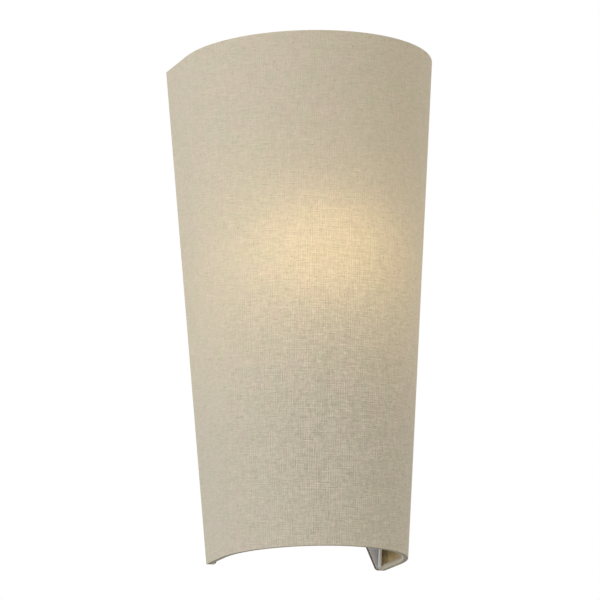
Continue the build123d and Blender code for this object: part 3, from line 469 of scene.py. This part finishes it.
def material_nodes(name):
    return Nodes(bpy.data.materials.new(name))


# ---------------------------------------------------------------- linen
THREAD = 0.80
LINEN = (0.578, 0.506, 0.380)
DYE_OLIVE, DYE_ROSE = (0.975, 1.005, 0.97), (1.02, 0.995, 1.01)
BARK, BLEACHED = (0.25, 0.17, 0.09), (0.78, 0.72, 0.60)
# painted shade for the hem's tail: a warm darkening, then a deep brown painted shadow higher up inside
TAIL_SHADE_TINT, TAIL_SHADOW = (0.98, 0.84, 0.52), (0.17, 0.10, 0.02)
# height on the flat cloth of the part that was pulled tighter over the lower front
TIGHT_HEIGHT = 75

# the lamplight through the cover: where it comes from, how far it reaches, its colour, the even part
# that the liner scatters between two levels, and the arched upper edge
GLOW_CENTRE = (-11.0, -87.0, 30.0)
GLOW_REACH = 48.0
GLOW_COLOUR = (0.314, 0.207, 0.075)
SCATTERED_SHARE, SCATTERED_LOW, SCATTERED_HIGH = 0.127, -92, -26
GLOW_EDGE_LEVEL, GLOW_EDGE_MIDDLE, GLOW_EDGE_BEND, GLOW_EDGE_HALF = 56.0, -5.0, 0.0035, 7


def lamp_glow(n):
    """How much lamplight comes through the cloth at a point: by the square of the distance to the lamp
    and by the angle at which it meets the cloth."""
    place = n.object_place()
    away = n.vector("SUBTRACT", place, GLOW_CENTRE)
    square = n.math("POWER", n.vector("LENGTH", away), 2.0)
    normal = n.add("ShaderNodeNewGeometry").outputs["True Normal"]
    facing = n.math("ABSOLUTE", n.vector("DOT_PRODUCT", n.vector("NORMALIZE", away), normal))
    share = n.product(n.math("DIVIDE", facing, square), GLOW_REACH ** 2)
    # over the lamp's top the liner is lit by scattered light only, which leaves a soft edge there
    x, _, z = n.split(place)
    arch = n.product(n.math("POWER", n.math("ADD", x, -GLOW_EDGE_MIDDLE), 2.0), GLOW_EDGE_BEND)
    edge = n.total(z, arch, -GLOW_EDGE_LEVEL)
    step = n.spread(edge, -GLOW_EDGE_HALF, GLOW_EDGE_HALF, 1.04, 0.925, "SMOOTHSTEP")
    share = n.product(share, step)
    # the opal lamp is broad, so the brightest part is level rather than peaked
    broad = n.math("SQRT", n.math("MULTIPLY_ADD", n.math("POWER", share, 2.0), 0.87, 1.0))
    # what the liner scatters fills the shade evenly above the lampholder
    high = n.math("SMOOTH_MIN", n.spread(z, SCATTERED_LOW, SCATTERED_HIGH), 1.0, 0.3)
    return n.math("MULTIPLY_ADD", high, SCATTERED_SHARE, n.math("DIVIDE", share, broad))


def odd_or_even(n, thread):
    """1 on the odd threads and -1 on the even ones."""
    return n.math("SUBTRACT", n.product(n.math("FLOORED_MODULO", thread, 2.0), 2.0), 1.0)


def thread_tones(n, cloth, warp, weft, over):
    """Tone of the threads round nought. over is 1 where the warp lies on top and 0 where the weft does."""
    u, v, _ = n.split(cloth)
    # every thread has its own tone, which drifts slowly along it
    warp_tone = n.noise(n.joined(n.product(warp, 3.71), n.product(v, 0.17), 1.5), 1.0, 1)
    weft_tone = n.noise(n.joined(n.product(u, 0.15), n.product(weft, 3.71), 8.5), 1.0, 1)
    tone = n.total(
        n.product(n.centred(warp_tone), n.math("MULTIPLY_ADD", over, 0.16, 0.13)),
        n.product(n.centred(weft_tone), n.math("MULTIPLY_ADD", over, -0.12, 0.28)),
    )
    # short runs of a thread are lighter or darker, and so is every single crossing
    weft_run = n.math("FLOOR", n.math("MULTIPLY_ADD", warp, 0.22, n.product(n.scatter(weft, 3.0), 9.0)))
    warp_run = n.math("FLOOR", n.math("MULTIPLY_ADD", weft, 0.22, n.product(n.scatter(warp, 9.0), 9.0)))
    runs = n.total(
        n.product(n.scatter(weft_run, weft), 0.115),
        n.product(n.scatter(warp, warp_run), 0.10),
        n.product(n.scatter(warp, weft), 0.10),
    )
    # in patches every second thread stands out, both ways
    warp_patch = n.spread(n.noise(n.moved(cloth, 11, 5, 60), 0.13, 2), 0.40, 0.62, 0.005, 0.06)
    weft_patch = n.spread(n.noise(n.moved(cloth, 71, 35, 20), 0.13, 2), 0.44, 0.64, 0.0, 0.045)
    comb = n.total(n.product(odd_or_even(n, warp), warp_patch), n.product(odd_or_even(n, weft), weft_patch))
    # where the cloth was pulled tighter, the threads part a little more
    loose = n.vector("LENGTH", n.scaled(n.moved(cloth, 0, -TIGHT_HEIGHT, 0), 1.0, 0.55, 0.0))
    comb = n.product(comb, n.spread(loose, 20, 110, 1.5, 0.5))
    tone = n.product(n.math("MULTIPLY_ADD", tone, 0.75, runs), n.spread(loose, 20, 110, 1.3, 0.6))
    return n.total(tone, comb)


def linen(name, turned_in):
    """The woven cloth. The cover is given painted lamplight from behind, and its inner face along the free
    edges painted shade.
    Where the cloth is turned in as a hem, its foot, the bottom of its roll and its tail are darkened with
    painted shade."""
    n = material_nodes(name)
    cloth = n.cloth_place()
    u, v, inside = n.split(cloth)
    sway = n.product(n.centred(n.noise(cloth, 0.07, 3)), 2.2)
    swing = n.product(n.centred(n.noise(n.moved(cloth, 40, 90, 7), 0.07, 3)), 2.2)
    tu = n.total(n.math("DIVIDE", u, THREAD), sway)
    tv = n.total(n.math("DIVIDE", v, THREAD), swing)
    warp, weft = n.math("FLOOR", tu), n.math("FLOOR", tv)
    cu = n.math("COSINE", n.product(n.centred(n.math("SUBTRACT", tu, warp)), pi))
    cv = n.math("COSINE", n.product(n.centred(n.math("SUBTRACT", tv, weft)), pi))
    over = n.math("FLOORED_MODULO", n.math("ADD", warp, weft), 2.0)
    # crown of the thread on top, which dips where it goes under its neighbours
    warp_crown = n.product(cu, n.math("MULTIPLY_ADD", cv, 0.5, 0.5))
    weft_crown = n.product(cv, n.math("MULTIPLY_ADD", cu, 0.5, 0.5))
    crown = n.total(n.product(warp_crown, over), n.product(weft_crown, n.math("SUBTRACT", 1.0, over)))
    hole = n.spread(n.math("ADD", cu, cv), 0.25, 0.75, 1.0, 0.0)
    # slubs: short thick runs of a thread, lighter or darker than it
    slub_place = n.scaled(cloth, 0.11, 1.1, 1.0)
    upright_place = n.moved(n.scaled(cloth, 1.1, 0.13, 1.0), 5, 22, 31)
    light_slub = n.spread(n.noise(n.moved(slub_place, 3, 2, 9), 1.0, 1), 0.62, 0.74)
    dark_slub = n.spread(n.noise(n.moved(slub_place, 50, 12, 4), 1.0, 1), 0.63, 0.76)
    upright_slub = n.spread(n.noise(upright_place, 1.0, 1), 0.62, 0.75)
    slubs = n.total(n.product(light_slub, 0.10), n.product(dark_slub, -0.13), n.product(upright_slub, -0.07))
    # painted shade in the holes between the threads and a painted highlight on their crowns
    weave_shade_and_highlight = n.total(n.product(hole, -0.10), n.math("MULTIPLY_ADD", crown, 0.10, -0.05))
    amount = n.total(1.0, thread_tones(n, cloth, warp, weft, over), slubs, weave_shade_and_highlight)
    # broad unevenness of the dye, then flecks of bark and of bleached fibre
    cloudy = n.noise(n.moved(cloth, 9, 77, 3), 0.085, 3)
    olive, rose = (tuple(c * f for c, f in zip(LINEN, dye)) for dye in (DYE_OLIVE, DYE_ROSE))
    colour = n.times(n.mix(n.spread(cloudy, 0.35, 0.65), olive, rose), amount)
    fleck = n.specks(n.scaled(cloth, 0.075, 0.115, 1.0), 0.36)
    colour = n.mix(fleck, colour, BARK)
    pale = n.specks(n.moved(n.scaled(cloth, 0.08, 0.125, 1.0), 17, 80, 2), 0.38)
    colour = n.mix(pale, colour, BLEACHED)
    raised = n.total(*(n.product(bump, 0.5) for bump in (light_slub, dark_slub, pale)))
    fuzz = n.noise(cloth, 3.1, 2)
    height = n.math("MULTIPLY_ADD", fuzz, 0.25, n.total(crown, raised))
    surface = {
        "rough": n.spread(fuzz, 0.3, 0.7, 0.86, 0.96), "normal": n.bump(height, 0.00009, 0.8),
        "sheen": 0.12, "sheen_rough": 0.5, "specular": 0.2,
    }
    if turned_in:
        # across the hem, in millimetres: painted shade on the foot and the bottom of the roll, then painted
        # shade up the tail, warm and deepening higher inside
        colour = n.times(colour, n.spread(v, 2.0, 3.0, 0.46, 1.0))
        # the tail's painted shade starts at a wavy height
        tail_shade_height = n.math("MULTIPLY_ADD", n.centred(cloudy), 6.0, v)
        colour = n.mix(n.spread(tail_shade_height, 8.6, 11.0), colour, TAIL_SHADE_TINT, "MULTIPLY")
        colour = n.mix(n.spread(tail_shade_height, 11.5, 16.0, 0.0, 0.7), colour, TAIL_SHADOW)
        return n.shade(colour=colour, **surface)
    # painted shade on the cover's inner face, which shows in the narrow margin along the free edges
    colour = n.times(colour, n.spread(inside, 0.1, 0.7, 1.0, 0.4))
    through = n.product(lamp_glow(n), n.math("SUBTRACT", amount, n.product(fleck, 0.5)))
    return n.shade(colour=colour, glow=n.times(GLOW_COLOUR, through), glow_strength=1.0, **surface)


# ---------------------------------------------------------------- other finishes, by the record's slots
def finish(name, colour, rough, grain=0.8, depth=0.00002, speckle=0.03, brushed=None):
    """A finish with its own grain: small relief, an uneven tone and gloss, and a little dust or wear.
    grain is the relief's size in 1/mm, depth its height in metres, and brushed the scale of the
    scratches along each axis. Gives the nodes and the sockets of colour, roughness and normal."""
    n = material_nodes(name)
    place = n.object_place()
    fine = n.noise(place, grain, 3, 0.6)
    cloudy = n.noise(n.moved(place, 31, 7, 12), 0.06, 3)
    tone = n.total(1.0 - speckle, n.product(cloudy, speckle * 1.4), n.product(fine, speckle * 0.6))
    height = fine
    gloss = n.spread(cloudy, 0.3, 0.7, rough * 0.88, rough * 1.12)
    if brushed is not None:
        lines = n.noise(n.scaled(place, *brushed), 1.0, 2, 0.6)
        height = n.total(n.product(fine, 0.3), lines)
        gloss = n.total(gloss, n.product(n.centred(lines), rough * 0.5))
    return n, n.times(colour, tone), gloss, n.bump(height, depth)


def opal():
    """Opal glass lit from inside, brightest at the middle and dimmer towards the neck."""
    n = material_nodes("opal_glass")
    place = n.object_place()
    low = n.spread(n.split(place)[2], LAMP_LEVEL - 50, LAMP_LEVEL - 8, 0.55, 1.0)
    milky = n.noise(place, 0.09, 3)
    level = n.product(low, n.spread(milky, 0.3, 0.7, 0.97, 1.03))
    glow = n.times(n.mix(low, (1.0, 0.72, 0.46), (1.0, 0.88, 0.70)), level)
    return n.shade(colour=(0.93, 0.92, 0.89), rough=0.16, specular=0.5, glow=glow, glow_strength=1.25,
                   normal=n.bump(milky, 0.00002))


def laminate():
    """The plastic sheet behind the linen: a white sheet, coloured satin light grey as painted shade, with a
    faint grain and the linen's weave showing through."""
    n = material_nodes("liner")
    cloth = n.cloth_place()
    grain = n.noise(cloth, 1.6, 2, 0.6)
    cloudy = n.noise(cloth, 0.04, 3)
    weave = n.product(n.math("SINE", n.product(n.split(cloth)[1], 2 * pi / 1.7)), 0.5)
    tone = n.total(0.955, n.product(cloudy, 0.05), n.product(grain, 0.03), n.product(weave, 0.01))
    # light grey rather than white: painted shade
    colour = n.times(n.mix(cloudy, (0.66, 0.64, 0.635), (0.72, 0.70, 0.70)), tone)
    return n.shade(colour=colour, rough=n.spread(grain, 0.3, 0.7, 0.5, 0.62), specular=0.4,
                   normal=n.bump(n.total(grain, weave), 0.00004))


def earth_insulation():
    """Green insulation with a yellow stripe along two sides."""
    n, tinted, gloss, normal = finish("lead_green", (0.07, 0.30, 0.05), 0.42, grain=1.2)
    side = n.split(n.add("ShaderNodeNewGeometry").outputs["True Normal"])[0]
    stripe = n.spread(n.math("ABSOLUTE", side), 0.62, 0.66)
    return n.shade(colour=n.mix(stripe, tinted, (0.78, 0.66, 0.04)), rough=gloss, normal=normal,
                   specular=0.4)


def phosphor():
    """The glowing grains of phosphor along a filament."""
    n = material_nodes("filament")
    grains = n.cells(n.object_place(), 1.1)
    return n.shade(colour=n.mix(grains, (0.85, 0.5, 0.06), (0.95, 0.72, 0.2)), rough=0.4,
                   glow=n.mix(grains, (1.0, 0.62, 0.2), (1.0, 0.8, 0.42)), glow_strength=3.0,
                   normal=n.bump(grains, 0.0001))


PLAIN_FINISHES = {
    "wire_white": ((0.80, 0.79, 0.76), 0.34, {"grain": 0.5, "depth": 0.00006, "speckle": 0.05},
                   {"coat": 0.3, "coat_rough": 0.2}),
    "plate_white": ((0.80, 0.80, 0.775), 0.46, {"grain": 2.2, "depth": 0.00005, "speckle": 0.04}, {}),
    "zinc_steel": ((0.62, 0.64, 0.67), 0.36, {"grain": 1.4, "speckle": 0.16, "brushed": (0.3, 3.0, 6.0)},
                   {"metal": 1.0}),
    "nickel": ((0.70, 0.68, 0.63), 0.24,
               {"grain": 2.0, "depth": 0.00001, "speckle": 0.08, "brushed": (4.0, 0.25, 4.0)},
               {"metal": 1.0}),
    "brass": ((0.72, 0.50, 0.20), 0.30, {"grain": 1.6, "speckle": 0.18, "brushed": (3.0, 3.0, 0.3)},
              {"metal": 1.0}),
    "solder": ((0.60, 0.60, 0.60), 0.38, {"grain": 0.7, "depth": 0.00012, "speckle": 0.2}, {"metal": 1.0}),
    "black_glass": ((0.012, 0.012, 0.016), 0.12, {"grain": 0.6, "depth": 0.00004, "speckle": 0.3}, {}),
    "clear_glass": ((0.93, 0.96, 0.96), 0.04, {"grain": 0.3, "depth": 0.00001},
                    {"transmission": 1.0, "ior": 1.5}),
    "holder_plastic": ((0.80, 0.795, 0.76), 0.33, {"grain": 1.7}, {}),
    "ceramic": ((0.83, 0.81, 0.75), 0.18, {"grain": 0.4, "depth": 0.00008, "speckle": 0.07},
                {"coat": 0.5, "coat_rough": 0.08}),
    "block_plastic": ((0.76, 0.74, 0.66), 0.48, {"grain": 1.5, "depth": 0.00003, "speckle": 0.05},
                      {"subsurface": 0.1}),
    "nylon": ((0.82, 0.82, 0.79), 0.5, {"grain": 1.2, "depth": 0.00003, "speckle": 0.04}, {}),
    "grommet_rubber": ((0.022, 0.022, 0.024), 0.62, {"grain": 2.6, "depth": 0.00004, "speckle": 0.35}, {}),
    "lead_brown": ((0.13, 0.05, 0.025), 0.42, {"grain": 1.2, "speckle": 0.1}, {}),
    "lead_blue": ((0.02, 0.10, 0.34), 0.42, {"grain": 1.2, "speckle": 0.1}, {}),
}


def plain(name):
    colour, rough, settings, shader = PLAIN_FINISHES[name]
    n, tinted, gloss, normal = finish(name, colour, rough, **settings)
    return n.shade(colour=tinted, rough=gloss, normal=normal, **shader)


materials = {
    "linen": linen("linen", turned_in=True),
    "liner": laminate(),
    "opal_glass": opal(),
    "filament": phosphor(),
    "lead_green": earth_insulation(),
}
materials.update({name: plain(name) for name in PLAIN_FINISHES})

for row in frame["record"]["subparts"]:
    node = frame["nodes"][row["node"]]
    node.data.materials.clear()
    node.data.materials.append(materials[row["material_slot"]])

# ---------------------------------------------------------------- the shade's cloth
cover, cover_flat, cover_area = shade_sheet(
    "linen_cover", SHADE_LOW, SHADE_HIGH, 0.0, FABRIC_THICKNESS, 0.0, COVER_UNEVENNESS
)
# the liner ends inside the hems' feet and 1 mm short of the cover's free edges
liner, liner_flat, liner_area = shade_sheet(
    "shade_liner", SHADE_LOW + HEM_THICKNESS + GLUE_GAP, SHADE_HIGH - HEM_THICKNESS - GLUE_GAP,
    FABRIC_THICKNESS + GLUE_GAP, LINER_THICKNESS, 1.0, 0.0
)
low_hem, low_hem_flat = hem("bottom_rolled_hem", SHADE_LOW, 1)
high_hem, high_hem_flat = hem("top_rolled_hem", SHADE_HIGH, -1)
for piece, node, material, slot in (
    (cover, "fabric_cover", linen("linen_lit", turned_in=False), "linen"),
    (liner, "inner_liner", materials["liner"], "liner"),
    (low_hem, "bottom_hem", materials["linen"], "linen"),
    (high_hem, "top_hem", materials["linen"], "linen"),
):
    piece.data.materials.append(material)
    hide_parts(node)
    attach(piece, "shade")

# ---------------------------------------------------------------- studio
AREA_LIGHTS = {
    "key": {"place": (-2.6, -1.5, 0.9), "size": 1.6, "power": 31.0, "colour": (0.74, 0.81, 1.0)},
    "side": {"place": (-2.6, 0.9, 0.9), "size": 1.2, "power": 7.5, "colour": (0.58, 0.80, 1.0)},
}
LIGHTS_AIM = Vector((0, -0.07, 0))
AMBIENT = 0.71
FLOOR_LEVEL, FLOOR_HALF = -3.0, 9
FLOOR_COLOUR = (0.93, 0.93, 0.93)


def area_light(name, place, size, power, colour):
    data = bpy.data.lights.new(name, "AREA")
    data.shape = "DISK"
    data.size = size
    data.energy = power
    data.color = colour
    light = bpy.data.objects.new(name, data)
    light.location = place
    light.rotation_mode = "QUATERNION"
    light.rotation_quaternion = (LIGHTS_AIM - Vector(place)).to_track_quat("-Z", "Y")
    bpy.context.scene.collection.objects.link(light)


def white_world():
    """An even soft light all round, which the camera, glass and shiny metal see as white."""
    world = bpy.data.worlds.new("studio_white")
    bpy.context.scene.world = world
    n = Nodes(world)
    rays = n.add("ShaderNodeLightPath").outputs
    through = n.math("ADD", rays["Is Transmission Ray"], rays["Is Glossy Ray"])
    seen = n.math("ADD", rays["Is Camera Ray"], through, clamp=True)
    background = n.add("ShaderNodeBackground")
    n.put(background.inputs["Color"], (1.0, 1.0, 1.0))
    n.put(background.inputs["Strength"], n.spread(seen, 0.0, 1.0, AMBIENT, 1.0))
    output = n.add("ShaderNodeOutputWorld")
    n.put(output.inputs["Surface"], background.outputs[0])


def pale_floor():
    """A pale floor far below the light."""
    mesh = bpy.data.meshes.new("floor")
    half = FLOOR_HALF
    corners = [(x, y, FLOOR_LEVEL) for x, y in ((-half, -half), (half, -half), (half, half), (-half, half))]
    mesh.from_pydata(corners, [], [(0, 1, 2, 3)])
    floor = bpy.data.objects.new("floor", mesh)
    bpy.context.scene.collection.objects.link(floor)
    n = material_nodes("floor")
    speckle = n.noise(n.add("ShaderNodeTexCoord").outputs["Object"], 30.0, 2)
    colour = n.times(FLOOR_COLOUR, n.spread(speckle, 0.3, 0.7, 0.995, 1.0))
    mesh.materials.append(n.shade(colour=colour, rough=0.9))


white_world()
for name, settings in AREA_LIGHTS.items():
    area_light(name, **settings)
pale_floor()
bpy.context.scene.view_settings.view_transform = "Standard"
